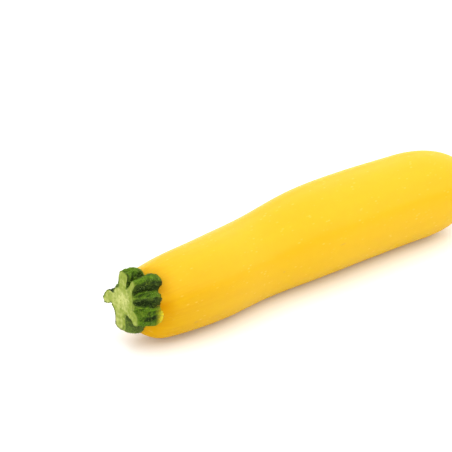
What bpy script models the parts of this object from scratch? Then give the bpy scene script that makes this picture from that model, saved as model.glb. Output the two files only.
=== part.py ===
"""A yellow zucchini lying on its belly, with the cut green stump of its stalk.

X runs along the fruit from the stalk to the blossom end, and Z is up. The fruit is a sphere
drawn out into the body by a formula, and the stalk is a loft of star-shaped sections that the
fruit's own shoulder cuts off from behind.
"""

import math

import bmesh
import bpy

# The body: distance from the front end, radius, sideways drift of the axis, and height of the
# underside above the lowest part of the belly.
LENGTH = 0.1936
STATIONS = (
    (0.0000, 0.0140, -0.0019, 0.0032),
    (0.0194, 0.0170, -0.0033, 0.0019),
    (0.0426, 0.0181, -0.0022, 0.0007),
    (0.0697, 0.0183, 0.0019, 0.0000),
    (0.1007, 0.0204, 0.0024, 0.0000),
    (0.1316, 0.0205, 0.0030, 0.0000),
    (0.1626, 0.0201, 0.0022, 0.0000),
    (0.1936, 0.0208, -0.0020, 0.0000),
)
SHOULDER_LENGTH = 0.0123
SHOULDER_POWER = 2.4
TIP_LENGTH = 0.0340
TIP_POWER = 2.15
# The belly is pressed flat by this much where it lies on the table.
FLAT_DEPTH = 0.0006
RIB_COUNT = 5
RIB_HEIGHT = 0.00012
RIB_HEIGHT_AT_STALK = 0.0004
RIB_FADE = 0.035
SCAR_RADIUS = 0.0045
SCAR_DEPTH = 0.0009
SCAR_RIM = 0.0004
SCAR_STEEPNESS = 4.0
BODY_RINGS = 60
BODY_SEGMENTS = 60

# The stalk: its cut end stands this far in front of the fruit. Its middle is given as (y, z) from
# the middle of the fruit's front end, at the cut and at the toes.
CUT_AT = -0.0034
CUT_CENTRE = (-0.0003, 0.0058)
TOE_CENTRE_AT = 0.0066
TOE_CENTRE = (-0.0012, 0.0028)
CORE_RADIUS = 0.0063
CORE_RADIUS_AT_TOES = 0.0120
CORE_FULL_AT = 0.0050
# Each ridge, in order round the stalk: its crest's (y, z) at the cut and at its toe, from the middle
# of the fruit's front end, how far back the toe reaches, and half its width at the cut and at the
# toe.
RIDGES = (
    ((0.0054, 0.0090), (0.0086, 0.0094), 0.0068, 0.0020, 0.0027),
    ((0.0002, 0.0188), (-0.0006, 0.0187), 0.0068, 0.0022, 0.0032),
    ((-0.0076, 0.0170), (-0.0090, 0.0164), 0.0113, 0.0021, 0.0041),
    ((-0.0063, 0.0090), (-0.0139, 0.0092), 0.0083, 0.0020, 0.0034),
    ((-0.0096, -0.0016), (-0.0158, 0.0009), 0.0079, 0.0027, 0.0043),
    ((0.0033, -0.0083), (-0.0041, -0.0105), 0.0050, 0.0029, 0.0042),
    ((0.0076, 0.0006), (0.0105, -0.0050), 0.0054, 0.0020, 0.0030),
    ((0.0139, 0.0015), (0.0144, 0.0013), 0.0076, 0.0031, 0.0034),
)
RIDGE_SWELL = 0.03
TOE_ROUNDING = 0.0045
TOE_DROP = 0.35
CREST_ROUNDING = 4.5
GROOVE_SHARPNESS = 9.0
POINTS_PER_GROOVE = 15
STALK_STEP = 0.0007
STALK_END = 0.0125
STALK_END_RADIUS = 0.0060
GAP = 0.0003
ALMOST_ZERO = 1e-6

SKIN_YELLOW = (0.93, 0.58, 0.03, 1.0)
STALK_GREEN = (0.06, 0.15, 0.02, 1.0)


def empty_scene():
    for old in list(bpy.data.objects):
        bpy.data.objects.remove(old, do_unlink=True)


def at_station(along, column):
    """A column of STATIONS at this distance, on a smooth curve through the rows."""
    last = len(STATIONS) - 2
    row = max(k for k in range(last + 1) if k == 0 or STATIONS[k][0] <= along)
    ends = [STATIONS[min(max(row + k, 0), last + 1)] for k in (-1, 0, 1, 2)]
    before, start, end, after = ends
    span = end[0] - start[0]
    t = (along - start[0]) / span
    slope_in = (end[column] - before[column]) / (end[0] - before[0]) * span
    slope_out = (after[column] - start[column]) / (after[0] - start[0]) * span
    rise = end[column] - start[column]
    return (
        start[column]
        + t * slope_in
        + t * t * (3 * rise - 2 * slope_in - slope_out)
        + t * t * t * (slope_in + slope_out - 2 * rise)
    )


def rounding(distance, length, power):
    """How much of the full radius is left this near to a rounded end."""
    left = max(0.0, 1.0 - distance / length)
    return (1.0 - left**power) ** (1.0 / power)


def body_axis(along):
    """The middle of the body at this distance, as (y, z) with the table at z = 0."""
    height = at_station(along, 1) + at_station(along, 3) - FLAT_DEPTH
    return at_station(along, 2), height


def body_radius(along):
    shoulder = rounding(along, SHOULDER_LENGTH, SHOULDER_POWER)
    tip = rounding(LENGTH - along, TIP_LENGTH, TIP_POWER)
    return at_station(along, 1) * shoulder * tip


def rib(along, angle):
    """Height of the faint ribs, which line up with the stalk's main ridges and die away."""
    height = RIB_HEIGHT + RIB_HEIGHT_AT_STALK * math.exp(-along / RIB_FADE)
    return height * math.cos(RIB_COUNT * (angle - math.pi / 2))


def scar(along, radius):
    """How far the blossom scar sinks in or stands out along X, near the tip."""
    if along < LENGTH / 2:
        return 0.0
    near = (radius / SCAR_RADIUS) ** 2
    pit = SCAR_DEPTH * math.exp(-SCAR_STEEPNESS * near)
    return SCAR_RIM * near * math.exp(1 - near) - pit


def make_body_mesh(name, grow):
    """The fruit's mesh, made larger all round by grow."""
    shape = bmesh.new()
    bmesh.ops.create_uvsphere(
        shape, u_segments=BODY_SEGMENTS, v_segments=BODY_RINGS, radius=1.0
    )
    for point in shape.verts:
        along = LENGTH * (1.0 + point.co.z) / 2
        angle = math.atan2(point.co.y, point.co.x)
        on_pole = math.hypot(point.co.x, point.co.y) < ALMOST_ZERO
        radius = 0.0 if on_pole else body_radius(along) + grow
        fullness = min(1.0, radius / at_station(along, 1))
        radius += rib(along, angle) * fullness
        y, z = body_axis(along)
        x = along + scar(along, radius) + grow * (2 * along / LENGTH - 1)
        height = z + radius * math.sin(angle)
        point.co = (x, y + radius * math.cos(angle), max(height, -grow))
    mesh = bpy.data.meshes.new(name)
    shape.to_mesh(mesh)
    shape.free()
    return mesh


def between(start, end, part):
    return start + (end - start) * part


def stalk_centre(along):
    part = (along - CUT_AT) / (TOE_CENTRE_AT - CUT_AT)
    return tuple(between(a, b, part) for a, b in zip(CUT_CENTRE, TOE_CENTRE))


def core_radius(along):
    """Radius at the foot of the grooves: it flares to the shoulder, then closes inside it."""
    short = max(0.0, 1.0 - (along - CUT_AT) / (CORE_FULL_AT - CUT_AT))
    inside = max(0.0, (along - TOE_CENTRE_AT) / (STALK_END - TOE_CENTRE_AT))
    flared = between(CORE_RADIUS_AT_TOES, CORE_RADIUS, short**2)
    return between(flared, STALK_END_RADIUS, inside**2)


def ridge_at(ridge, along):
    """The ridge in the section at this distance: its direction, crest radius and half width."""
    at_cut, at_toe, toe_end, width_at_cut, width_at_toe = ridge
    part = min(1.0, (along - CUT_AT) / (toe_end - CUT_AT))
    middle = stalk_centre(along)
    y, z = (between(a, b, part) - m for a, b, m in zip(at_cut, at_toe, middle))
    into_toe = min(1.0, max(0.0, 1.0 - (toe_end - along) / TOE_ROUNDING))
    left = math.sqrt(1.0 - into_toe**2)
    swell = 1.0 + RIDGE_SWELL * math.sin(math.pi * part)
    crest = math.hypot(y, z) * swell * (1.0 - TOE_DROP * (1.0 - left))
    return math.atan2(z, y), crest, between(width_at_cut, width_at_toe, part) * left


def ridge_reach(angle, line):
    """How far from the stalk's middle a ridge reaches in this direction."""
    direction, crest, half_width = line
    turn = abs(math.remainder(angle - direction, 2 * math.pi))
    if turn > math.pi / 2 or half_width <= 0.0:
        return 0.0
    side = half_width / max(math.sin(turn), ALMOST_ZERO)
    return (crest**-CREST_ROUNDING + side**-CREST_ROUNDING) ** (-1 / CREST_ROUNDING)


def stalk_ring(along):
    """One star-shaped section of the stalk, as points that follow the ridges round."""
    base_y, base_z = body_axis(0.0)
    middle_y, middle_z = stalk_centre(along)
    lines = [ridge_at(ridge, along) for ridge in RIDGES]
    ring = []
    for line, following in zip(lines, lines[1:] + lines[:1]):
        sweep = (following[0] - line[0]) % (2 * math.pi)
        for k in range(POINTS_PER_GROOVE):
            angle = line[0] + sweep * k / POINTS_PER_GROOVE
            reaches = [core_radius(along)] + [ridge_reach(angle, other) for other in lines]
            total = sum(reach**GROOVE_SHARPNESS for reach in reaches)
            radius = total ** (1 / GROOVE_SHARPNESS)
            y = base_y + middle_y + radius * math.cos(angle)
            z = base_z + middle_z + radius * math.sin(angle)
            ring.append((along, y, z))
    return ring


def make_stalk_mesh(name):
    """A loft through the star-shaped sections, closed at both ends."""
    steps = math.ceil((STALK_END - CUT_AT) / STALK_STEP)
    shape = bmesh.new()
    rings = []
    for k in range(steps + 1):
        along = between(CUT_AT, STALK_END, k / steps)
        rings.append([shape.verts.new(point) for point in stalk_ring(along)])
    for front, back in zip(rings, rings[1:]):
        for k, corner in enumerate(front):
            before = k - 1
            shape.faces.new((front[before], corner, back[k], back[before]))
    shape.faces.new(rings[0])
    shape.faces.new(rings[-1])
    bmesh.ops.recalc_face_normals(shape, faces=shape.faces)
    mesh = bpy.data.meshes.new(name)
    shape.to_mesh(mesh)
    shape.free()
    return mesh


def make_material(name, colour, roughness):
    material = bpy.data.materials.new(name)
    material.use_nodes = True
    shader = material.node_tree.nodes["Principled BSDF"]
    shader.inputs["Base Color"].default_value = colour
    shader.inputs["Roughness"].default_value = roughness
    return material


def add_object(name, mesh, collection):
    made = bpy.data.objects.new(name, mesh)
    collection.objects.link(made)
    return made


def cut_away(target, cutter):
    """Takes the cutter's shape out of the target, and keeps the cutter out of the render."""
    cut = target.modifiers.new("cut by shoulder", "BOOLEAN")
    cut.operation = "DIFFERENCE"
    cut.solver = "EXACT"
    cut.object = cutter
    cutter.hide_render = True
    cutter.display_type = "WIRE"


def smooth_sides(made):
    """Smooth shading, except on the flat cut and where it meets the sides."""
    for face in made.data.polygons:
        face.use_smooth = len(face.vertices) <= 4


def centre_on_table(objects):
    """Puts the middle of the whole part's box over the origin."""
    for axis in (0, 1):
        values = [v.co[axis] for made in objects for v in made.data.vertices]
        middle = (min(values) + max(values)) / 2
        for made in objects:
            made.location[axis] = -middle


def main():
    empty_scene()
    collection = bpy.data.collections.new("yellow_zucchini")
    bpy.context.scene.collection.children.link(collection)
    fruit = add_object("fruit", make_body_mesh("fruit", 0.0), collection)
    fruit.data.materials.append(make_material("skin", SKIN_YELLOW, 0.4))
    stem = add_object("stem", make_stalk_mesh("stem"), collection)
    stem.data.materials.append(make_material("stem_rind", STALK_GREEN, 0.6))
    shoulder = add_object("shoulder_cutter", make_body_mesh("cutter", GAP), collection)
    cut_away(stem, shoulder)
    smooth_sides(fruit)
    smooth_sides(stem)
    centre_on_table((fruit, stem))
    shoulder.location = fruit.location


main()
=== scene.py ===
import math

import bpy
import numpy as np
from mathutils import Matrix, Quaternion, Vector, noise
from mathutils.kdtree import KDTree


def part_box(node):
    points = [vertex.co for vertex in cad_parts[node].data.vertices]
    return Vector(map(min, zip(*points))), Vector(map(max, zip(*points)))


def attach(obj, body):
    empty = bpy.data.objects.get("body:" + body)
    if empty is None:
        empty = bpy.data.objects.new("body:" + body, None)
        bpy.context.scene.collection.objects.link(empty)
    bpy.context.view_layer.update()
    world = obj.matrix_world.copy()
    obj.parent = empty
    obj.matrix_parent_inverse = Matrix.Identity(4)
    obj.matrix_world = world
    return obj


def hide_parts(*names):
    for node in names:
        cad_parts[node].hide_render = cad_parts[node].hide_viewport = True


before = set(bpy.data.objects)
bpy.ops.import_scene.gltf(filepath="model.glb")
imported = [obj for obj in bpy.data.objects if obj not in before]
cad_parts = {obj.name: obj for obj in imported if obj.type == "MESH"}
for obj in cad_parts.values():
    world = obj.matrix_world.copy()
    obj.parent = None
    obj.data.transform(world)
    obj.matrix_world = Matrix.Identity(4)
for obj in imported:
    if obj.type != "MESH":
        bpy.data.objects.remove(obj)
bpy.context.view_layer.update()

# The fruit is one long body of firm flesh under a thin waxy skin, grown in one piece and a little
# bent. It is a loft of round sections along its own line, drawn up into low lobes and fine furrows
# where it carries the stalk, closed at the blossom scar, and pressed flat where it lies.

# Distance from the front end, radius, sideways drift of the middle line, and height of the underside
# above the lowest part of the belly, all in metres.
LENGTH = 0.1936
STATIONS = (
    (0.0000, 0.0140, -0.0019, 0.0032),
    (0.0194, 0.0170, -0.0033, 0.0019),
    (0.0426, 0.0181, -0.0022, 0.0007),
    (0.0697, 0.0183, 0.0019, 0.0000),
    (0.1007, 0.0204, 0.0024, 0.0000),
    (0.1316, 0.0205, 0.0030, 0.0000),
    (0.1626, 0.0201, 0.0022, 0.0000),
    (0.1936, 0.0208, -0.0020, 0.0000),
)
SHOULDER_LENGTH = 0.0123
SHOULDER_POWER = 2.4
TIP_LENGTH = 0.0340
TIP_POWER = 2.15
FLAT_DEPTH = 0.0006
FLAT_EDGE = 0.0003
RIB_COUNT = 5
RIB_HEIGHT = 0.00012
RIB_HEIGHT_AT_STALK = 0.0004
RIB_FADE = 0.035
SCAR_RADIUS = 0.0045
SCAR_DEPTH = 0.0009
SCAR_RIM = 0.0004
SCAR_STEEPNESS = 4.0
# The stalk's ridges, which the shoulder is furrowed round: crest (y, z) at the cut and at the toe, both
# from the middle of the fruit's front end, how far back the toe reaches, and half the width at the cut
# and at the toe.
RIDGES = (
    ((0.0054, 0.0090), (0.0080, 0.0088), 0.0068, 0.0020, 0.0027),
    ((0.0002, 0.0188), (-0.0006, 0.0187), 0.0068, 0.0022, 0.0032),
    ((-0.0076, 0.0170), (-0.0090, 0.0164), 0.0113, 0.0021, 0.0041),
    ((-0.0063, 0.0090), (-0.0139, 0.0092), 0.0083, 0.0020, 0.0034),
    ((-0.0096, -0.0016), (-0.0158, 0.0009), 0.0079, 0.0027, 0.0043),
    ((0.0030, -0.0084), (-0.0072, -0.0090), 0.0019, 0.0029, 0.0044),
    ((0.0076, 0.0006), (0.0105, -0.0050), 0.0054, 0.0020, 0.0030),
    ((0.0139, 0.0015), (0.0144, 0.0013), 0.0076, 0.0031, 0.0034),
)
LOBE_HEIGHT = 0.00035
LOBE_WIDTH = 0.20
LOBE_FADE = 0.014
TOE_PRESS = 0.00035
TOE_PRESS_WIDTH = 0.0030
TOE_SHADE_WIDTH = 0.0036
# How dark the painted shade round each ridge's toe is. Between two toes this share comes from the
# nearer one.
TOE_SHADE_WEIGHTS = (0.5, 0.35, 0.8, 1.0, 1.0, 0.6, 0.6, 0.6)
NEARER_TOE_SHARE = 0.35
# Each fine relief has a grain: cells a metre along the body, cells a radian round it, and a seed.
FURROW_HEIGHT = 0.00007
FURROW_FADE = 0.020
FURROW_GRAIN = (22.0, 17.0, 3.0)
DENT_HEIGHT = 0.00022
DENT_GRAIN = (26.0, 1.3, 11.0)
PUCKER_HEIGHT = 0.0007
PUCKER_GRAIN = (1.0, 3.4, 29.0)
PUCKER_PLACE = 1.15
PUCKER_SPREAD = 0.30
BODY_RINGS = 250
BODY_SEGMENTS = 360
# Equal steps along the body, mixed with steps that crowd towards both ends.
END_CROWDING = 0.55


def at_station(along, column):
    """A column of STATIONS at this distance, on a smooth curve through the rows."""
    last = len(STATIONS) - 1
    row = max(k for k in range(last) if k == 0 or STATIONS[k][0] <= along)
    before, start, end, after = (STATIONS[min(max(row + k, 0), last)] for k in (-1, 0, 1, 2))
    span = end[0] - start[0]
    t = (along - start[0]) / span
    slope_in = (end[column] - before[column]) / (end[0] - before[0]) * span
    slope_out = (after[column] - start[column]) / (after[0] - start[0]) * span
    rise = end[column] - start[column]
    return (
        start[column]
        + t * slope_in
        + t * t * (3 * rise - 2 * slope_in - slope_out)
        + t * t * t * (slope_in + slope_out - 2 * rise)
    )


def rounding(distance, length, power):
    """How much of the full radius is left this near to a rounded end."""
    left = max(0.0, 1.0 - distance / length)
    return (1.0 - left**power) ** (1.0 / power)


def body_axis(along):
    """The middle of the body at this distance, as (y, z) with the table at z = 0."""
    height = at_station(along, 1) + at_station(along, 3) - FLAT_DEPTH
    return at_station(along, 2), height


def body_radius(along):
    """The body's radius at this distance, drawn in at both rounded ends."""
    shoulder = rounding(along, SHOULDER_LENGTH, SHOULDER_POWER)
    tip = rounding(LENGTH - along, TIP_LENGTH, TIP_POWER)
    return at_station(along, 1) * shoulder * tip


def grain(along, angles, kind):
    """Soft random values in a ring, drawn out along the body."""
    per_metre, per_radian, seed = kind
    return np.array([
        noise.noise(Vector((
            along * per_metre + seed, per_radian * math.cos(a), per_radian * math.sin(a)
        )))
        for a in angles
    ])


def toe_places():
    """Each ridge's end on the shoulder, its direction there and its half width."""
    base_y, base_z = body_axis(0.0)
    places = []
    for at_cut, at_toe, toe_end, width_at_cut, width_at_toe in RIDGES:
        place = (toe_end - width_at_toe, base_y + at_toe[0], base_z + at_toe[1])
        places.append((np.array(place), math.atan2(at_toe[1], at_toe[0]), width_at_toe))
    return places


def ring_of_skin(along, angles):
    """One ring of the fruit's skin: its points, and how close each is to two toes and to the scar."""
    y, z = body_axis(along)
    radius = body_radius(along)
    fullness = min(1.0, radius / at_station(along, 1))
    at_stalk = math.exp(-along / LOBE_FADE)
    rib = RIB_HEIGHT + RIB_HEIGHT_AT_STALK * math.exp(-along / RIB_FADE)
    reach = radius + fullness * rib * np.cos(RIB_COUNT * (angles - math.pi / 2))
    shades = []
    for (place, direction, width), weight in zip(toe_places(), TOE_SHADE_WEIGHTS):
        turn = np.remainder(angles - direction + math.pi, 2 * math.pi) - math.pi
        reach += fullness * at_stalk * LOBE_HEIGHT * np.exp(-((turn / LOBE_WIDTH) ** 2))
        points = np.stack([
            np.full(len(angles), along), y + reach * np.cos(angles), z + reach * np.sin(angles)
        ], axis=1)
        away = np.maximum(np.linalg.norm(points - place, axis=1) - width, 0.0)
        shades.append(weight * np.exp(-((away / TOE_SHADE_WIDTH) ** 2)))
        reach -= TOE_PRESS * np.exp(-((away / TOE_PRESS_WIDTH) ** 2)) * fullness
    # The painted shade round the toes is darkest in the notches between two of them.
    shades = np.sort(shades, axis=0)
    close = NEARER_TOE_SHARE * shades[-1] + (1 - NEARER_TOE_SHARE) * shades[-2]
    furrow = FURROW_HEIGHT * math.exp(-along / FURROW_FADE)
    reach += fullness * furrow * grain(along, angles, FURROW_GRAIN)
    reach += fullness * DENT_HEIGHT * grain(along, angles, DENT_GRAIN)
    x = np.full(len(angles), along)
    scar = np.zeros(len(angles))
    if along > LENGTH / 2:
        near = (reach / SCAR_RADIUS) ** 2
        x += SCAR_RIM * near * np.exp(1 - near)
        x -= SCAR_DEPTH * np.exp(-SCAR_STEEPNESS * near)
        pucker = PUCKER_HEIGHT * np.exp(-((np.sqrt(near) - PUCKER_PLACE) ** 2) / PUCKER_SPREAD)
        x += pucker * grain(0.0, angles, PUCKER_GRAIN)
        scar = np.exp(-near)
    height = z + reach * np.sin(angles)
    height = (height + np.sqrt(height**2 + FLAT_EDGE**2)) / 2
    return np.stack([x, y + reach * np.cos(angles), height], axis=1), close, scar


def net(rings, front, back):
    """Points and faces of a closed skin over rings of points, with a point at each end."""
    around = len(rings[0])
    points = np.concatenate([[front], *rings, [back]])
    edges = [(k + 1, (k + 1) % around + 1) for k in range(around)]
    faces = [(0, b, a) for a, b in edges]
    last = (len(rings) - 1) * around
    for low in range(0, last, around):
        high = low + around
        faces += [(low + a, low + b, high + b, high + a) for a, b in edges]
    faces += [(last + a, last + b, len(points) - 1) for a, b in edges]
    return points, faces


def write_values(mesh, name, values):
    """Stores a number, or a vector, for each point of the mesh, for its material to read."""
    kind = "FLOAT_VECTOR" if values.ndim == 2 else "FLOAT"
    layer = mesh.attributes.new(name, kind, "POINT")
    field = "vector" if values.ndim == 2 else "value"
    layer.data.foreach_set(field, values.astype(np.float32).ravel())


steps = np.linspace(0.0, 1.0, BODY_RINGS + 2)[1:-1]
crowded = (1 - np.cos(math.pi * steps)) / 2
fruit_stops = LENGTH * ((1 - END_CROWDING) * steps + END_CROWDING * crowded)
fruit_angles = np.arange(BODY_SEGMENTS) * 2 * math.pi / BODY_SEGMENTS
fruit_rings = [ring_of_skin(stop, fruit_angles) for stop in fruit_stops]
front_y, front_z = body_axis(0.0)
back_y, back_z = body_axis(LENGTH)
fruit_points, fruit_faces = net(
    [ring[0] for ring in fruit_rings],
    (0.0, front_y, front_z),
    (LENGTH - SCAR_DEPTH, back_y, back_z),
)
toe_shade = np.concatenate([[1.0], *[ring[1] for ring in fruit_rings], [0.0]])
scar_shade = np.concatenate([[0.0], *[ring[2] for ring in fruit_rings], [1.0]])
# The skin's textures are laid out on a straight round bar of this radius, and bend with the body.
GRAIN_RADIUS = 0.02
fruit_grain = np.concatenate([
    [(0.0, 0.0, 0.0)],
    *[
        np.stack([
            np.full(BODY_SEGMENTS, stop),
            GRAIN_RADIUS * np.cos(fruit_angles),
            GRAIN_RADIUS * np.sin(fruit_angles),
        ], axis=1)
        for stop in fruit_stops
    ],
    [(LENGTH, 0.0, 0.0)],
])
# All places so far are from the fruit's front end. The frame's origin is under the middle of the part,
# so every piece moves by this much on its way into the frame.
fruit_low, fruit_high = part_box("fruit")
own_middle = (fruit_points[:, 1].min() + fruit_points[:, 1].max()) / 2
to_frame = np.array([fruit_low.x, (fruit_low.y + fruit_high.y) / 2 - own_middle, 0.0])


def add_piece(name, points, faces, body="root"):
    """A smooth mesh object at its place in the frame, riding on its body."""
    mesh = bpy.data.meshes.new(name)
    mesh.from_pydata((points + to_frame).tolist(), [], faces)
    mesh.shade_smooth()
    piece = bpy.data.objects.new(name, mesh)
    bpy.context.scene.collection.objects.link(piece)
    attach(piece, body)
    return piece


class Wire:
    """A socket of a shader node. Sums on wires add Math nodes to the same material."""

    def __init__(self, tree, socket=None):
        self.tree = tree
        self.socket = socket

    def plug(self, socket, value):
        """Gives a socket a wire, or else a number, a vector or a colour of its own."""
        if isinstance(value, Wire):
            self.tree.links.new(value.socket, socket)
        else:
            socket.default_value = value

    def dress(self, shader, sockets):
        """Gives the named sockets of a shader what they take."""
        for name, value in sockets.items():
            self.plug(shader.inputs[name], value)

    def add(self, kind, settings, values, result=None):
        """Any other node: its settings first, then its sockets, each by its name or its number."""
        node = self.tree.nodes.new(kind)
        for name, value in settings.items():
            setattr(node, name, value)
        for key, value in values.items():
            named = [socket for socket in node.inputs if socket.enabled and socket.name == key]
            self.plug(named[0] if named else node.inputs[key], value)
        shown = [s for s in node.outputs if s.enabled and result in (None, s.name)]
        return Wire(self.tree, shown[0])

    def maths(self, operation, *values):
        """A sum on numbers or wires, by Blender's name for it."""
        node = self.tree.nodes.new("ShaderNodeMath")
        node.operation = operation
        for socket, value in zip(node.inputs, values):
            self.plug(socket, value)
        return Wire(self.tree, node.outputs[0])

    def __add__(self, other):
        return self.maths("ADD", self, other)

    def __radd__(self, other):
        return self.maths("ADD", other, self)

    def __sub__(self, other):
        return self.maths("SUBTRACT", self, other)

    def __rsub__(self, other):
        return self.maths("SUBTRACT", other, self)

    def __mul__(self, other):
        return self.maths("MULTIPLY", self, other)

    def __rmul__(self, other):
        return self.maths("MULTIPLY", other, self)

    def __pow__(self, other):
        return self.maths("POWER", self, other)

    def step(self, low, high):
        """0 below low and 1 above high, with a soft step between."""
        return self.add(
            "ShaderNodeMapRange",
            {"interpolation_type": "SMOOTHSTEP", "clamp": True},
            {"Value": self, "From Min": low, "From Max": high, "To Min": 0.0, "To Max": 1.0},
        )

    def blend(self, first, second):
        """The first colour where this number is 0, the second where it is 1, and a mix between."""
        return self.add(
            "ShaderNodeMix",
            {"data_type": "RGBA", "clamp_factor": True},
            {"Factor": self, "A": first, "B": second},
        )

    def mix(self, other, share):
        """This colour with a share of another laid over it."""
        return share.blend(self, other)

    def part(self, axis):
        """One number of this vector: X, Y or Z."""
        return self.add("ShaderNodeSeparateXYZ", {}, {"Vector": self}, axis)

    def stretched(self, scale):
        """This vector, each way times its own number."""
        return self.add(
            "ShaderNodeMapping", {"vector_type": "POINT"}, {"Vector": self, "Scale": scale}
        )

    def noise(self, scale, detail=2.0, roughness=0.5, bend=0.0):
        """A soft random number at each place. Scale is cells a unit, and bend bends the cells."""
        sockets = {
            "Vector": self,
            "Scale": scale,
            "Detail": detail,
            "Roughness": roughness,
            "Distortion": bend,
        }
        return self.add("ShaderNodeTexNoise", {}, sockets, "Fac")

    def from_spots(self, scale):
        """How far the place is from the nearest of many scattered spots."""
        return self.add("ShaderNodeTexVoronoi", {}, {"Vector": self, "Scale": scale}, "Distance")


def paint(red, green, blue):
    """A colour given as a picture's 0 to 255, as the light that a shader needs."""
    shares = [value / 255 for value in (red, green, blue)]
    return (*[((s + 0.055) / 1.055) ** 2.4 if s > 0.04045 else s / 12.92 for s in shares], 1.0)


def new_finish(name):
    """A material with its Principled shader, and a wire to build on."""
    material = bpy.data.materials.new(name)
    material.use_nodes = True
    tree = material.node_tree
    return material, tree.nodes["Principled BSDF"], Wire(tree)


def read_values(wire, name, result="Fac"):
    """A wire from what write_values stored: Fac for a number, Vector for a vector."""
    return wire.add("ShaderNodeAttribute", {"attribute_name": name}, {}, result)


SKIN_YELLOW = (0.642, 0.389, 0.001, 1.0)
SKIN_AMBER = (0.54, 0.288, 0.0, 1.0)
# The orange is painted shade round the stalk's toes and in the notches between them.
PAINTED_SHADE_ORANGE = (0.44, 0.185, 0.0, 1.0)
SKIN_FLECK = paint(253, 228, 128)
SKIN_WAX = 0.40
WAX_ROUGHNESS = 0.22
SCAR_CORK = paint(158, 124, 74)
SCAR_CRACK = paint(96, 70, 38)
SCAR_EDGE = paint(176, 150, 44)
# The skin's textures, in cells a metre: along and twice across the bar, or the same each way.
STREAK_CELLS = (60.0, 900.0, 900.0)
BAND_CELLS = (9.0, 110.0, 110.0)
MOTTLE_CELLS = 260.0
PORE_CELLS = (260.0, 560.0, 560.0)
PORE_PATCH_CELLS = 150.0
SPECKLE_CELLS = 1500.0
TORN_CELLS = 1900.0
CORK_CELLS = (1500.0, 330.0, 330.0)
# The yellow deepens to amber towards the stalk. Less of it on the bar's upper side is painted light.
STALK_AMBER_LENGTH = 0.04
UPPER_SIDE = (0.004, 0.018)
PAINTED_LIGHT_ABOVE = 0.75
# How strongly the painted shade turns the skin orange round the toes.
TOE_PAINTED_SHADE = 0.95
TOE_DULLING = 0.95
FLECK_STRENGTH = 0.17
# Small rubs and scratches in the skin: the middle of each on the bar, its half length and half width,
# and how far it is dulled.
RUBS = (
    ((0.0225, -0.0175, -0.0097), 0.0015, 0.0012, 0.55),
    ((0.0729, -0.0200, -0.0012), 0.0009, 0.0006, 0.40),
    ((0.1050, -0.0200, 0.0006), 0.0024, 0.0004, 0.45),
    ((0.1180, 0.0120, 0.0160), 0.0030, 0.0005, 0.40),
    ((0.0600, 0.0196, 0.0040), 0.0014, 0.0010, 0.45),
)
RUB_BROWN = (0.40, 0.215, 0.055, 1.0)

skin, skin_shader, wire = new_finish("waxy_yellow_skin")
lie = read_values(wire, "grain", "Vector")
near_toe = read_values(wire, "near_toe")
scar = read_values(wire, "scar")
near_stalk = wire.maths("EXPONENT", lie.part("X") * (-1 / STALK_AMBER_LENGTH))
upper_side = lie.part("Z").step(*UPPER_SIDE)
streaks = lie.stretched(STREAK_CELLS).noise(1.0, 3.0).step(0.40, 0.64)
bands = lie.stretched(BAND_CELLS).noise(1.0, 2.0).step(0.3, 0.7)
mottle = lie.noise(MOTTLE_CELLS, 3.0).step(0.3, 0.75)
# Painted light: the amber near the stalk is kept lighter on the upper side.
yellowed = (0.98 * near_stalk - 0.25 * near_stalk ** 4.0) * (1.0 - PAINTED_LIGHT_ABOVE * upper_side)
amber = yellowed + 0.14 * bands + 0.08 * mottle + 0.55 * near_stalk ** 3.0 * streaks
tone = amber.blend(SKIN_YELLOW, SKIN_AMBER)
# Painted shade: the skin turns orange round the toes and in the notches between them.
tone = tone.mix(PAINTED_SHADE_ORANGE, near_toe * TOE_PAINTED_SHADE)
pores = lie.stretched(PORE_CELLS).from_spots(1.0)
flecks = (1.0 - pores.step(0.08, 0.26)) * lie.noise(PORE_PATCH_CELLS).step(0.42, 0.62)
tone = tone.mix(SKIN_FLECK, flecks * FLECK_STRENGTH)
torn = lie.noise(TORN_CELLS).step(0.38, 0.62)
for middle, half_length, half_width, dulled in RUBS:
    size = (1 / half_length, 1 / half_width, 1 / half_width)
    shift = tuple(-place * scale for place, scale in zip(middle, size))
    beside = wire.add("ShaderNodeMapping", {}, {"Vector": lie, "Location": shift, "Scale": size})
    away = wire.add("ShaderNodeVectorMath", {"operation": "LENGTH"}, {"Vector": beside}, "Value")
    tone = tone.mix(RUB_BROWN, (1.0 - away.step(0.3, 1.0)) * (0.25 + 0.75 * torn) * dulled)
cork = lie.stretched(CORK_CELLS).noise(1.0, 3.0)
tone = tone.mix(SCAR_EDGE, scar.step(0.10, 0.34) * 0.7)
tone = tone.mix(SCAR_CORK, scar.step(0.30, 0.50) * (0.75 + 0.25 * cork.step(0.4, 0.6)))
tone = tone.mix(SCAR_CRACK, scar.step(0.34, 0.60) * (1.0 - cork.step(0.36, 0.50)))
fine_relief = lie.noise(SPECKLE_CELLS, 2.0) + 0.6 * streaks * near_stalk - 0.5 * flecks
skin_relief = wire.add(
    "ShaderNodeBump",
    {},
    {"Strength": 0.25, "Distance": 0.00012, "Height": fine_relief + 3.0 * scar * cork},
)
dull_below = 0.6 * near_stalk ** 2.0 * (1.0 - upper_side)
wax = SKIN_WAX * (1.0 - dull_below) * (1.0 - TOE_DULLING * near_toe) * (1.0 - scar.step(0.1, 0.4))
wire.dress(skin_shader, {
    "Base Color": tone,
    "Roughness": 0.34 + 0.12 * mottle + 0.35 * scar.step(0.2, 0.5),
    "Normal": skin_relief,
    "Subsurface Weight": 0.3,
    "Subsurface Radius": (0.006, 0.003, 0.0006),
    "Subsurface Scale": 1.0,
    "Specular IOR Level": 0.0,
    "Coat Weight": wax,
    "Coat Roughness": WAX_ROUGHNESS,
})

fruit = add_piece("zucchini_fruit", fruit_points, fruit_faces)
write_values(fruit.data, "grain", fruit_grain)
write_values(fruit.data, "near_toe", toe_shade)
write_values(fruit.data, "scar", scar_shade)
fruit.data.materials.append(skin)
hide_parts("fruit")

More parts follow.
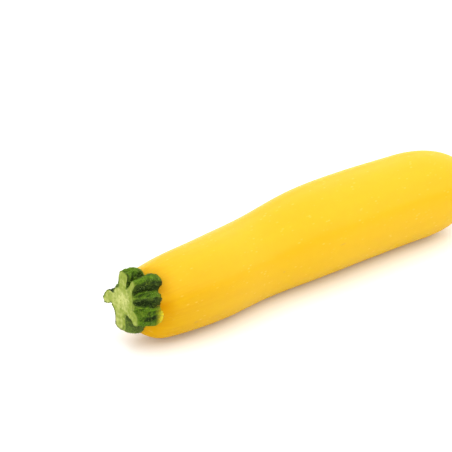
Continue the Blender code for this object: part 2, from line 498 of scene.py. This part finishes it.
# The stem is the stump of the stalk, a tough lobed star of fibrous flesh in a dark green rind, cut
# square with a knife. Its eight ridges run back from the cut, spread, and end in round toes that are
# grown onto the fruit's shoulder.
# Distances are from the fruit's front end, as in STATIONS. The stalk's middle line goes from the centre
# of the cut to the centre between the toes, and its core fills the foot of the grooves.
CUT_AT = -0.0034
CUT_CENTRE = (-0.0003, 0.0058)
TOE_CENTRE_AT = 0.0066
TOE_CENTRE = (-0.0012, 0.0028)
CORE_RADIUS = 0.0063
CORE_RADIUS_AT_TOES = 0.0120
CORE_FULL_AT = 0.0050
RIDGE_SWELL = 0.03
TOE_ROUNDING = 0.0045
TOE_ROUNDING_SHARE = 0.38
TOE_DROP = 0.35
CREST_ROUNDING = 4.5
GROOVE_SHARPNESS = 9.0
POINTS_PER_GROOVE = 48
STALK_STEP = 0.0002
STALK_END = 0.0125
STALK_END_RADIUS = 0.0060
STALK_CELL = 0.0002
# The round lobes of the cut face, out along the arm that each ridge starts from: y, z and radius.
CUT_LOBES = (
    ((0.0037, 0.0081, 0.0020),),
    (
        (0.0005, 0.0110, 0.0021),
        (0.0005, 0.0160, 0.0021),
        (-0.0003, 0.0171, 0.0025),
        (-0.0024, 0.0178, 0.0012),
    ),
    ((-0.0040, 0.0104, 0.0018), (-0.0060, 0.0140, 0.0013), (-0.0072, 0.0159, 0.0013)),
    ((-0.0044, 0.0082, 0.0019),),
    ((-0.0050, 0.0012, 0.0024), (-0.0076, 0.0009, 0.0019), (-0.0077, -0.0012, 0.0020)),
    ((0.0025, -0.0005, 0.0029), (0.0028, -0.0054, 0.0030)),
    ((0.0055, 0.0015, 0.0019),),
    ((0.0070, 0.0046, 0.0026), (0.0094, 0.0050, 0.0025), (0.0119, 0.0023, 0.0018)),
)
LOBE_STEPS = 12
# The lobes give way to the plain sections over this length, quickly at first.
CUT_FORM_LENGTH = 0.0085
CUT_FORM_POWER = 1.5
# The crease between each ridge and the next: its place at the cut, midway and at the toes and its half
# width, as shares of the way, its depth, and how far the web between the toes fills it up again.
CREASES = (
    (0.30, 0.30, 0.30, 0.30, 0.0018, 1.0),
    (0.48, 0.48, 0.48, 0.10, 0.0012, 1.0),
    (0.40, 0.38, 0.55, 0.15, 0.0020, 0.95),
    (0.22, 0.26, 0.43, 0.13, 0.0019, 1.14),
    (0.70, 0.64, 0.58, 0.13, 0.0024, 1.0),
    (0.54, 0.54, 0.54, 0.11, 0.0014, 1.0),
    (0.28, 0.28, 0.28, 0.10, 0.0010, 1.0),
    (0.70, 0.70, 0.70, 0.25, 0.0016, 1.0),
)
CREASE_MIDWAY = 0.45
CREASE_START = 0.0040
WEB_ENDS = (0.0022, 0.0062)
# Painted shade in dark stripes under the ridges and painted light in pale stripes on their tops, along
# the rind's flanks: ridge, share of the way on to the next, half width, and how dark, or below 0 how
# light.
PAINTED_LIGHT_AND_SHADE_STRIPES = (
    (1, 0.35, 0.35, -0.75),
    (1, 0.96, 0.14, -0.7),
    (2, 0.35, 0.17, 1.0),
    (2, 0.68, 0.12, -0.65),
    (3, 0.13, 0.15, 1.0),
    (3, 0.58, 0.12, -0.9),
    (3, 0.86, 0.13, 0.75),
    (4, 0.08, 0.22, 0.30),
    (4, 0.64, 0.20, 1.0),
    (6, 0.50, 0.20, 1.0),
    (7, 0.50, 0.20, 1.0),
)
# How pale and grey each ridge's crest is.
RIDGE_PALENESS = (0.1, 0.0, 0.0, 0.05, 0.0, 0.55, 0.4, 0.3)
# How yellow the end of each ridge's toe has turned.
TOE_RIPENESS = (0.3, 0.1, 0.1, 0.12, 1.0, 0.1, 0.6, 0.4)
RIPE_LENGTH = 0.0036
RIPE_DEPTH = 0.0016
# How far a ridge's paleness and ripeness reach round the stalk, as a share of the way to the next.
RIDGE_TINT_WIDTH = 0.45
PALENESS_SHARPNESS = 4
# Stands in for nothing where a width or an angle would be divided by zero.
HAIRSBREADTH = 1e-9


def between(start, end, part):
    """The number that is this part of the way from start to end."""
    return start + (end - start) * part


def soft_step(values, low, high):
    """0 below low and 1 above high, with a soft step between, as Wire.step does it."""
    part = np.clip((values - low) / (high - low), 0.0, 1.0)
    return part * part * (3 - 2 * part)


def stalk_centre(along):
    """The stalk's middle at this distance, as (y, z) from the middle of the fruit's front end."""
    part = (along - CUT_AT) / (TOE_CENTRE_AT - CUT_AT)
    return tuple(between(a, b, part) for a, b in zip(CUT_CENTRE, TOE_CENTRE))


def core_radius(along):
    """Radius at the foot of the grooves: it flares to the shoulder, then closes inside it."""
    short = max(0.0, 1.0 - (along - CUT_AT) / (CORE_FULL_AT - CUT_AT))
    inside = max(0.0, (along - TOE_CENTRE_AT) / (STALK_END - TOE_CENTRE_AT))
    flared = between(CORE_RADIUS_AT_TOES, CORE_RADIUS, short**2)
    return between(flared, STALK_END_RADIUS, inside**2)


def ridge_at(ridge, along):
    """The ridge in the section at this distance: its direction, crest radius and half width."""
    at_cut, at_toe, toe_end, width_at_cut, width_at_toe = ridge
    part = min(1.0, max(0.0, (along - CUT_AT) / (toe_end - CUT_AT)))
    middle = stalk_centre(along)
    y, z = (between(a, b, part) - m for a, b, m in zip(at_cut, at_toe, middle))
    rounded = min(TOE_ROUNDING, TOE_ROUNDING_SHARE * (toe_end - CUT_AT))
    into_toe = min(1.0, max(0.0, 1.0 - (toe_end - along) / rounded))
    left = math.sqrt(1.0 - into_toe**2)
    swell = 1.0 + RIDGE_SWELL * math.sin(math.pi * part)
    crest = math.hypot(y, z) * swell * (1.0 - TOE_DROP * (1.0 - left))
    return math.atan2(z, y), crest, between(width_at_cut, width_at_toe, part) * left


def ridge_reach(angles, line):
    """How far from the stalk's middle a ridge reaches in these directions."""
    direction, crest, half_width = line
    turn = np.abs(np.remainder(angles - direction + math.pi, 2 * math.pi) - math.pi)
    side = half_width / np.maximum(np.sin(turn), HAIRSBREADTH)
    reach = crest**-CREST_ROUNDING + np.maximum(side, HAIRSBREADTH) ** -CREST_ROUNDING
    return np.where(turn > math.pi / 2, 0.0, reach ** (-1 / CREST_ROUNDING))


def plain_section(along):
    """The star's plain outline at this distance: directions that follow the ridges, and radii."""
    lines = [ridge_at(ridge, along) for ridge in RIDGES]
    angles = []
    for line, following in zip(lines, lines[1:] + lines[:1]):
        sweep = (following[0] - line[0]) % (2 * math.pi)
        angles += [line[0] + sweep * k / POINTS_PER_GROOVE for k in range(POINTS_PER_GROOVE)]
    angles = np.array(angles)
    total = core_radius(along) ** GROOVE_SHARPNESS
    for line in lines:
        total = total + ridge_reach(angles, line) ** GROOVE_SHARPNESS
    return angles, total ** (1 / GROOVE_SHARPNESS)


def lobed_reach(angles):
    """How far the cut face reaches in these directions, round all the lobes of its arms."""
    middle_y, middle_z = CUT_CENTRE
    total = np.full(len(angles), CORE_RADIUS**GROOVE_SHARPNESS)
    for arm in CUT_LOBES:
        reach = np.zeros(len(angles))
        lobes = [(middle_y, middle_z, arm[0][2]), *arm]
        for start, end in zip(lobes, lobes[1:]):
            for part in np.linspace(0.0, 1.0, LOBE_STEPS):
                y, z, radius = (between(a, b, part) for a, b in zip(start, end))
                away = math.hypot(y - middle_y, z - middle_z)
                turn = angles - math.atan2(z - middle_z, y - middle_y)
                across = away * np.sin(turn)
                deep = np.sqrt(np.maximum(radius**2 - across**2, 0.0))
                hit = (np.abs(across) < radius) & ((np.cos(turn) > 0) | (away < radius))
                reach = np.maximum(reach, np.where(hit, away * np.cos(turn) + deep, 0.0))
        total = total + reach**GROOVE_SHARPNESS
    return total ** (1 / GROOVE_SHARPNESS)


cut_angles, cut_radii = plain_section(CUT_AT)
cut_form = lobed_reach(cut_angles) / cut_radii
columns = len(RIDGES) * POINTS_PER_GROOVE


def stalk_ring(along):
    """One section of the stalk: its points, how far up a ridge each is with the painted light and shade
    of the stripes, and how ripe and how pale each is.
    """
    angles, radii = plain_section(along)
    part = min(1.0, (along - CUT_AT) / CUT_FORM_LENGTH)
    radii = radii * (1 + (cut_form - 1) * (1 - part) ** CUT_FORM_POWER)
    opened = math.sin(math.pi / 2 * min(1.0, (along - CUT_AT) / CREASE_START))
    webbed = soft_step(along, *WEB_ENDS)
    share = np.arange(POINTS_PER_GROOVE) / POINTS_PER_GROOVE
    creases = []
    rises = []
    for *places_along, width, full_depth, web in CREASES:
        place = np.interp(part, (0.0, CREASE_MIDWAY, 1.0), places_along)
        depth = full_depth * (1 - web * webbed)
        creases.append(depth * opened * np.exp(-(((share - place) / width) ** 2)))
        rises.append(np.where(share < place, 1 - share / place, (share - place) / (1 - place)))
    creased = radii - np.concatenate(creases)
    crest_painted_light_and_shade = np.concatenate(rises)
    ridge_count = len(RIDGES)
    # The stripes paint shade under the ridges and light on their tops.
    for ridge, onward, width, darkness in PAINTED_LIGHT_AND_SHADE_STRIPES:
        away = np.arange(columns) / POINTS_PER_GROOVE - ridge - onward
        away = np.remainder(away + ridge_count / 2, ridge_count) - ridge_count / 2
        stripe = abs(darkness) * opened * np.exp(-((away / width) ** 2))
        aim = 0.0 if darkness > 0 else 1.0
        crest_painted_light_and_shade += stripe * (aim - crest_painted_light_and_shade)
    ripe = np.zeros(columns)
    pale = np.zeros(columns)
    for k, (ridge, ripeness, paleness) in enumerate(zip(RIDGES, TOE_RIPENESS, RIDGE_PALENESS)):
        near_end = min(1.0, max(0.0, 1.0 - (ridge[2] - RIPE_DEPTH - along) / RIPE_LENGTH))
        offset = np.remainder(np.arange(columns) - k * POINTS_PER_GROOVE + columns / 2, columns)
        away = (offset - columns / 2) / (POINTS_PER_GROOVE * RIDGE_TINT_WIDTH)
        closeness = np.exp(-(away**2))
        ripe = np.maximum(ripe, ripeness * near_end * closeness)
        pale = np.maximum(pale, paleness * closeness**PALENESS_SHARPNESS)
    y, z = stalk_centre(along)
    points = np.stack([
        np.full(columns, along),
        front_y + y + creased * np.cos(angles),
        front_z + z + creased * np.sin(angles),
    ], axis=1)
    return points, crest_painted_light_and_shade, ripe, pale


stalk_stops = np.linspace(CUT_AT, STALK_END, round((STALK_END - CUT_AT) / STALK_STEP))
stalk_rings = [stalk_ring(stop) for stop in stalk_stops]
cut_y, cut_z = stalk_centre(CUT_AT)
end_y, end_z = stalk_centre(STALK_END)
stalk_points, stalk_faces = net(
    [ring[0] for ring in stalk_rings],
    (CUT_AT, front_y + cut_y, front_z + cut_z),
    (STALK_END, front_y + end_y, front_z + end_z),
)
stem = add_piece("zucchini_stem", stalk_points, stalk_faces)
even = stem.modifiers.new("even cells", "REMESH")
even.mode = "VOXEL"
even.voxel_size = STALK_CELL
even.use_smooth_shade = True
remeshed = bpy.data.meshes.new_from_object(stem.evaluated_get(bpy.context.evaluated_depsgraph_get()))
stem.modifiers.clear()
stem.data = remeshed
stem.data.name = "zucchini_stem"


def read_vectors(mesh, kind):
    """The place ("co") or the outward direction ("normal") of each point of the mesh."""
    flat = np.empty(len(mesh.vertices) * 3, dtype=np.float32)
    mesh.vertices.foreach_get(kind, flat)
    return flat.reshape(-1, 3).astype(float)


# The fibres run along a straight round bar of this radius, and bend with the ridges. Each point of the
# even skin takes its place on the bar, and its shades, from the nearest points of the sections.
FIBRE_RADIUS = 0.010
NEAREST_POINTS = 3
NEAREST_SOFTNESS = 1e-9
column_turn = np.arange(columns) * 2 * math.pi / columns
tree = KDTree(len(stalk_stops) * columns)
for k, ring in enumerate(stalk_rings):
    for n, point in enumerate(ring[0] + to_frame):
        tree.insert(point, k * columns + n)
tree.balance()
ring_values = np.concatenate([
    np.stack([
        np.full(columns, stop),
        FIBRE_RADIUS * np.cos(column_turn),
        FIBRE_RADIUS * np.sin(column_turn),
        *ring[1:],
    ], axis=1)
    for stop, ring in zip(stalk_stops, stalk_rings)
])
places = read_vectors(remeshed, "co")
values = np.empty((len(places), ring_values.shape[1]))
for n, place in enumerate(places):
    found = tree.find_n(place, NEAREST_POINTS)
    weights = np.array([1 / (distance**2 + NEAREST_SOFTNESS) for point, index, distance in found])
    values[n] = weights @ ring_values[[index for point, index, distance in found]] / weights.sum()
fibre = values[:, :3]
crest_painted_light_and_shade, ripeness, paleness = values[:, 3:].T

# The rind is drawn into folds, fibres and small slanting wrinkles, and the knife left the cut uneven.
# Each grain is in cells a metre, along and across the fibres.
FOLD_HEIGHT = 0.00060
FOLD_GRAIN = (170.0, 620.0, 620.0)
FOLD_SEED = 5.0
FIBRE_HEIGHT = 0.00034
FIBRE_GRAIN = (200.0, 1300.0, 1300.0)
FIBRE_SEED = 21.0
WRINKLE_HEIGHT = 0.00065
WRINKLE_GRAIN = (760.0, 230.0, 230.0)
WRINKLE_SEED = 37.0
WRINKLE_SLANT = 0.9
# Folds and wrinkles are lower on one smooth ridge, and towards the toes.
SMOOTH_RIDGE = 2
SMOOTH_WIDTH = 0.28
SMOOTH_CALM = 0.7
TOES_START = (0.0025, 0.0060)
TOES_CALM = 0.65
PITH_HEIGHT = 0.00022
PITH_GRAIN = 620.0
PITH_SEED = 51.0
DISH_DEPTH = 0.00035
DISH_RADIUS = 0.0075
# A point is on the cut face if it looks forward this far and lies this near to the front.
CUT_FACING = (0.55, 0.85)
CUT_FACE_ENDS = (CUT_AT + 0.0003, CUT_AT + 0.0007)


def soft_noise(points, seed):
    """A soft random value at each point, about 0."""
    return np.array([noise.noise(Vector(point) + Vector((seed, 0, 0))) for point in points.tolist()])


normals = read_vectors(remeshed, "normal")
own = places - to_frame
on_cut = soft_step(-normals[:, 0], *CUT_FACING) * (1 - soft_step(own[:, 0], *CUT_FACE_ENDS))
outline = KDTree(columns)
for n, point in enumerate(stalk_rings[0][0]):
    outline.insert(point, n)
outline.balance()
from_edge = np.array([outline.find(point)[2] for point in own])
from_heart = np.hypot(own[:, 1] - front_y - cut_y, own[:, 2] - front_z - cut_z)
fibre_turn = np.arctan2(fibre[:, 2], fibre[:, 1])
slanted = fibre.copy()
slanted[:, 0] += WRINKLE_SLANT * FIBRE_RADIUS * fibre_turn
folds = soft_noise(fibre * FOLD_GRAIN, FOLD_SEED)
fibres = 1 - 2 * np.abs(soft_noise(fibre * FIBRE_GRAIN, FIBRE_SEED))
wrinkles = soft_noise(slanted * WRINKLE_GRAIN, WRINKLE_SEED)
from_smooth = (fibre_turn - SMOOTH_RIDGE * 2 * math.pi / len(RIDGES)) / SMOOTH_WIDTH
calm_at_toes = 1 - TOES_CALM * soft_step(fibre[:, 0], *TOES_START)
calm = calm_at_toes * (1 - SMOOTH_CALM * np.exp(-(from_smooth**2)))
rind_relief = (FOLD_HEIGHT * folds + WRINKLE_HEIGHT * wrinkles) * calm + FIBRE_HEIGHT * (fibres - 0.5)
dish = DISH_DEPTH * np.exp(-((from_heart / DISH_RADIUS) ** 2))
pith_relief = PITH_HEIGHT * soft_noise(own * PITH_GRAIN, PITH_SEED) - dish
raised = rind_relief * (1 - on_cut) + pith_relief * on_cut
remeshed.vertices.foreach_set("co", (places + normals * raised[:, None]).astype(np.float32).ravel())
remeshed.update()

# The dark green is the rind's own, and is also painted shade in the grooves, under the ridges and in
# the hollows of the folds. The bright green is partly painted light on the crests.
RIND_DARK_AND_SHADE = (0.010, 0.022, 0.002, 1.0)
RIND_GREEN = (0.058, 0.124, 0.003, 1.0)
RIND_BRIGHT = (0.098, 0.200, 0.004, 1.0)
RIND_PALE = (0.132, 0.200, 0.013, 1.0)
RIND_GREY = (0.135, 0.180, 0.055, 1.0)
RIND_RIPE = (0.68, 0.56, 0.02, 1.0)
CUT_FLESH = (0.220, 0.278, 0.034, 1.0)
CUT_HEART_HIGHLIGHT = (0.455, 0.480, 0.150, 1.0)
CUT_VEIN = (0.14, 0.200, 0.018, 1.0)
CUT_RIM = (0.055, 0.100, 0.008, 1.0)
# The textures of the rind and of the cut flesh, in cells a metre.
FIBRE_LINE_CELLS = (230.0, 950.0, 950.0)
FIBRE_LINE_BEND = 0.7
SLANT_LINE_CELLS = (900.0, 300.0, 300.0)
PATCH_CELLS = (240.0, 330.0, 330.0)
TOOTH_CELLS = 1900.0
GRIT_CELLS = 1500.0
GRIT_ROUGHNESS = 0.6
PITH_CLOUD_CELLS = 420.0
PITH_VEIN_CELLS = 700.0
PITH_SPOT_CELLS = 900.0
PITH_PATCH_CELLS = 300.0

rind, rind_shader, wire = new_finish("green_rind_and_cut")
grown = read_values(wire, "fibre", "Vector")
crest = read_values(wire, "crest")
height = read_values(wire, "relief")
toe_ripe = read_values(wire, "ripe")
cut_mask = read_values(wire, "on_cut")
edge_near = read_values(wire, "edge_near")
in_place = wire.add("ShaderNodeTexCoord", {}, {}, "Object")
fibre_lines = grown.stretched(FIBRE_LINE_CELLS).noise(1.0, 3.0, bend=FIBRE_LINE_BEND)
slant_lines = read_values(wire, "slant", "Vector").stretched(SLANT_LINE_CELLS).noise(1.0, 3.0)
patches = grown.stretched(PATCH_CELLS).noise(1.0, 2.0)
tooth = grown.noise(TOOTH_CELLS, 3.0)
weave = (0.55 * fibre_lines + 0.25 * slant_lines + 0.20 * height).step(0.42, 0.58)
# Painted light and shade: the rind is lighter up the ridges' crests and darker down in the grooves and
# in the hollows of the relief, over its own darker grooves and paler ridges.
lit = crest.step(0.05, 0.75) * (0.42 + 0.50 * weave + 0.45 * patches.step(0.35, 0.65))
bark = (lit + 0.35 * (height - 0.5)).blend(RIND_DARK_AND_SHADE, RIND_GREEN)
pale_lines = (0.6 * fibre_lines + 0.3 * slant_lines + 0.1 * height).step(0.54, 0.62)
bark = bark.mix(RIND_PALE, pale_lines * (0.30 + 0.40 * crest.step(0.1, 0.8)))
# Painted shade in the hollows of the relief, less of it up on the crests.
dark_lines = 1.0 - (0.6 * slant_lines + 0.4 * height).step(0.36, 0.46)
bark = bark.mix(RIND_DARK_AND_SHADE, dark_lines * (0.75 - 0.55 * crest.step(0.6, 1.0)))
# Painted light on the tops of the crests, over the ridges' own paler green.
bark = bark.mix(RIND_BRIGHT, crest.step(0.78, 0.98) * (0.25 + 0.5 * patches.step(0.3, 0.7)))
bark = bark.mix(RIND_GREY, read_values(wire, "pale") * (0.15 + 0.85 * weave))
grit = in_place.noise(GRIT_CELLS, 3.0, GRIT_ROUGHNESS)
bark = bark.mix(RIND_DARK_AND_SHADE, (1.0 - grit.step(0.34, 0.50)) * 0.55)
bark = bark.mix(RIND_PALE, grit.step(0.54, 0.68) * (0.25 + 0.30 * crest.step(0.0, 0.5)))
bark = bark.mix(RIND_PALE, edge_near ** 2.0 * 0.65 * tooth.step(0.25, 0.6))
bark = bark.mix(RIND_RIPE, toe_ripe.step(0.0, 0.95) * (0.6 + 0.4 * tooth.step(0.3, 0.6)))
pith_cloud = in_place.noise(PITH_CLOUD_CELLS, 3.0).step(0.42, 0.62)
# Painted highlight: the heart of the cut is paler where the moist flesh shines.
pith = (read_values(wire, "heart_near") + 0.55 * pith_cloud - 0.2).blend(CUT_FLESH, CUT_HEART_HIGHLIGHT)
pith_veins = 1.0 - in_place.noise(PITH_VEIN_CELLS, 2.0).step(0.34, 0.48)
pith = pith.mix(CUT_VEIN, pith_veins * 0.42)
pith_spots = 1.0 - in_place.from_spots(PITH_SPOT_CELLS).step(0.15, 0.40)
pith = pith.mix(CUT_VEIN, pith_spots * in_place.noise(PITH_PATCH_CELLS).step(0.45, 0.60) * 0.6)
pith = pith.mix(CUT_RIM, read_values(wire, "cut_rim"))
bark_relief = wire.add(
    "ShaderNodeBump",
    {},
    {"Strength": 0.5, "Distance": 0.00012, "Height": tooth + 0.8 * fibre_lines * (1.0 - cut_mask)},
)
wire.dress(rind_shader, {
    "Base Color": bark.mix(pith, cut_mask),
    "Roughness": 0.62 + 0.16 * tooth - 0.12 * cut_mask,
    "Normal": bark_relief,
    "Specular IOR Level": 0.10,
})

# The flesh is palest at its heart, where a moist highlight is painted, and on its left (+Y) side, low
# down. A dark rim edges the cut, most of all on the left.
HEART_RADIUS = 0.0035
EDGE_LENGTH = 0.0012
RELIEF_SHOWN = 0.0009
LEFT_SIDE = (-0.007, 0.006)
LEFT_PALER = 0.36
LOW_SIDE = (0.0, 0.006)
LOW_PALER = 0.34
RIM_EDGE = (0.50, 0.85)
RIM_STRENGTH = 0.40
RIM_LEFT_STRENGTH = 0.55
near_edge = np.exp(-from_edge / EDGE_LENGTH)
left_side = soft_step(own[:, 1], *LEFT_SIDE)
low_left = left_side * soft_step(front_z - own[:, 2], *LOW_SIDE)
paler = LEFT_PALER * left_side + LOW_PALER * low_left
stem_values = {
    "fibre": fibre,
    "slant": slanted,
    "crest": crest_painted_light_and_shade,
    "ripe": ripeness,
    "pale": paleness,
    "relief": np.clip(0.5 + rind_relief / RELIEF_SHOWN, 0.0, 1.0),
    "on_cut": on_cut,
    "edge_near": near_edge,
    "cut_rim": soft_step(near_edge, *RIM_EDGE) * (RIM_STRENGTH + RIM_LEFT_STRENGTH * left_side),
    "heart_near": np.exp(-((from_heart / HEART_RADIUS) ** 2)) + paler,
}
for name, point_values in stem_values.items():
    write_values(remeshed, name, point_values)
remeshed.materials.clear()
remeshed.materials.append(rind)
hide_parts("stem")

# The rind is set with stiff pale bristles, short hollow hairs of the plant's own skin, most of them
# worn off in handling. Each grows out of the rind on a wider foot and leans back towards the fruit.
BRISTLE_COUNT = 900
BRISTLE_LENGTH = (0.0004, 0.0010)
BRISTLE_FOOT = 0.00007
BRISTLE_LEAN = 0.9
BRISTLE_SCATTER = 0.25
BRISTLE_SIDES = 5
BRISTLE_SINK = 0.00012
# Bristles keep off the cut face and its edge, off the ends of the toes, and out of the fruit.
CUT_KEPT_BARE = 0.02
EDGE_KEPT_BARE = 0.0008
BRISTLES_END_AT = 0.0070
FRUIT_GAP = 0.0002
dice = np.random.default_rng(7)
rind_places = read_vectors(remeshed, "co")
shown = (on_cut < CUT_KEPT_BARE) & (own[:, 0] < BRISTLES_END_AT) & (from_edge > EDGE_KEPT_BARE)
fruit_reach = [body_radius(x) + FRUIT_GAP if x > 0 else 0.0 for x in own[:, 0]]
inside_fruit = np.hypot(own[:, 1] - front_y, own[:, 2] - front_z) < np.array(fruit_reach)
roots = dice.choice(np.flatnonzero(shown & ~inside_fruit), BRISTLE_COUNT, replace=False)
foot_turns = np.arange(BRISTLE_SIDES) * 2 * math.pi / BRISTLE_SIDES
bristle_points = []
bristle_faces = []
for root in roots:
    outward = normals[root]
    lean = np.array([BRISTLE_LEAN, 0.0, 0.0]) + dice.normal(0.0, BRISTLE_SCATTER, 3)
    grows = outward + lean - outward * (lean @ outward)
    grows /= np.linalg.norm(grows)
    across = np.cross(outward, grows)
    across /= np.linalg.norm(across)
    other = np.cross(across, grows)
    foot = rind_places[root] - outward * BRISTLE_SINK
    start = len(bristle_points)
    for turn in foot_turns:
        bristle_points.append(foot + BRISTLE_FOOT * (math.cos(turn) * across + math.sin(turn) * other))
    bristle_points.append(foot + grows * dice.uniform(*BRISTLE_LENGTH))
    tip = start + BRISTLE_SIDES
    ends = [(start + k, start + (k + 1) % BRISTLE_SIDES) for k in range(BRISTLE_SIDES)]
    bristle_faces += [(a, b, tip) for a, b in ends]
    bristle_faces.append(tuple(start + k for k in reversed(range(BRISTLE_SIDES))))
bristles = add_piece("stem_bristles", np.array(bristle_points) - to_frame, bristle_faces)

BRISTLE_PALE = (0.26, 0.36, 0.09, 1.0)
BRISTLE_GREEN = (0.11, 0.19, 0.02, 1.0)
BRISTLE_CELLS = 500.0
bristle, bristle_shader, wire = new_finish("pale_bristles")
along_bristle = wire.add("ShaderNodeTexCoord", {}, {}, "Object").noise(BRISTLE_CELLS, 2.0)
wire.dress(bristle_shader, {
    "Base Color": along_bristle.step(0.35, 0.65).blend(BRISTLE_GREEN, BRISTLE_PALE),
    "Roughness": 0.45,
    "Specular IOR Level": 0.2,
})
bristles.data.materials.append(bristle)

# The studio's floor is one wide white board with a soft sheen. Its faint warm glow stands in for light
# that the fruit and the board throw back and forth where they meet.
FLOOR_SIZE = 6.0
BOARD_WHITE = 0.86
BOARD_ROUGHNESS = 0.35
BOARD_GLOSS = 0.4
BOARD_WARMTH = (1.0, 0.74, 0.40, 1.0)
BOARD_GLOW = 0.08
floor_mesh = bpy.data.meshes.new("floor")
half = FLOOR_SIZE / 2
floor_mesh.from_pydata(
    [(-half, -half, 0), (half, -half, 0), (half, half, 0), (-half, half, 0)], [], [(0, 1, 2, 3)]
)
floor = bpy.data.objects.new("floor", floor_mesh)
bpy.context.scene.collection.objects.link(floor)
board, board_shader, wire = new_finish("white_board")
wire.dress(board_shader, {
    "Base Color": (BOARD_WHITE, BOARD_WHITE, BOARD_WHITE, 1.0),
    "Roughness": BOARD_ROUGHNESS,
    "Specular IOR Level": BOARD_GLOSS,
    "Emission Color": BOARD_WARMTH,
    "Emission Strength": BOARD_GLOW,
})
floor.data.materials.append(board)

# A white room round the board gives even light. One wide softbox stands above and beyond the blossom
# end, and a weaker, softer fill light comes from the stalk's side.
ROOM_LIGHT = 1.16
SOFTBOX_LIGHT = 2.0
SOFTBOX_SIDE = (0.50, -0.10, 0.86)
SOFTBOX_EDGE = (0.54, 0.60)
FILL_LIGHT = 1.0
FILL_SIDE = (-0.86, -0.36, 0.36)
FILL_EDGE = (0.6, 0.95)
world = bpy.data.worlds.new("white_room")
world.use_nodes = True
wire = Wire(world.node_tree)
direction = wire.add("ShaderNodeTexCoord", {}, {}, "Generated")


def towards(side):
    """How far each direction of the room agrees with this one."""
    return wire.add(
        "ShaderNodeVectorMath", {"operation": "DOT_PRODUCT"}, {"Vector": direction, 1: side}, "Value"
    )


softbox = (SOFTBOX_LIGHT - ROOM_LIGHT) * towards(SOFTBOX_SIDE).step(*SOFTBOX_EDGE)
fill = FILL_LIGHT * towards(FILL_SIDE).step(*FILL_EDGE)
wire.dress(world.node_tree.nodes["Background"], {
    "Color": (1.0, 1.0, 1.0, 1.0),
    "Strength": ROOM_LIGHT + softbox + fill,
})
bpy.context.scene.world = world

# The camera stands off the stalk end on the near side, a little above the fruit, with a long lens.
CAMERA_PLACE = Vector((-0.71768, -0.82896, 0.53277))
CAMERA_AIM = Vector((-0.02212, 0.02161, 0.02479))
CAMERA_ROLL = math.radians(-0.724)
CAMERA_LENS = 220.2
CAMERA_SENSOR = 36.0
camera_data = bpy.data.cameras.new("camera")
camera_data.lens = CAMERA_LENS
camera_data.sensor_width = CAMERA_SENSOR
camera = bpy.data.objects.new("camera", camera_data)
camera.location = CAMERA_PLACE
level = (CAMERA_AIM - CAMERA_PLACE).to_track_quat("-Z", "Y")
camera.rotation_euler = (level @ Quaternion((0.0, 0.0, 1.0), CAMERA_ROLL)).to_euler()
bpy.context.scene.collection.objects.link(camera)
bpy.context.scene.camera = camera
bpy.context.scene.view_settings.view_transform = "Standard"
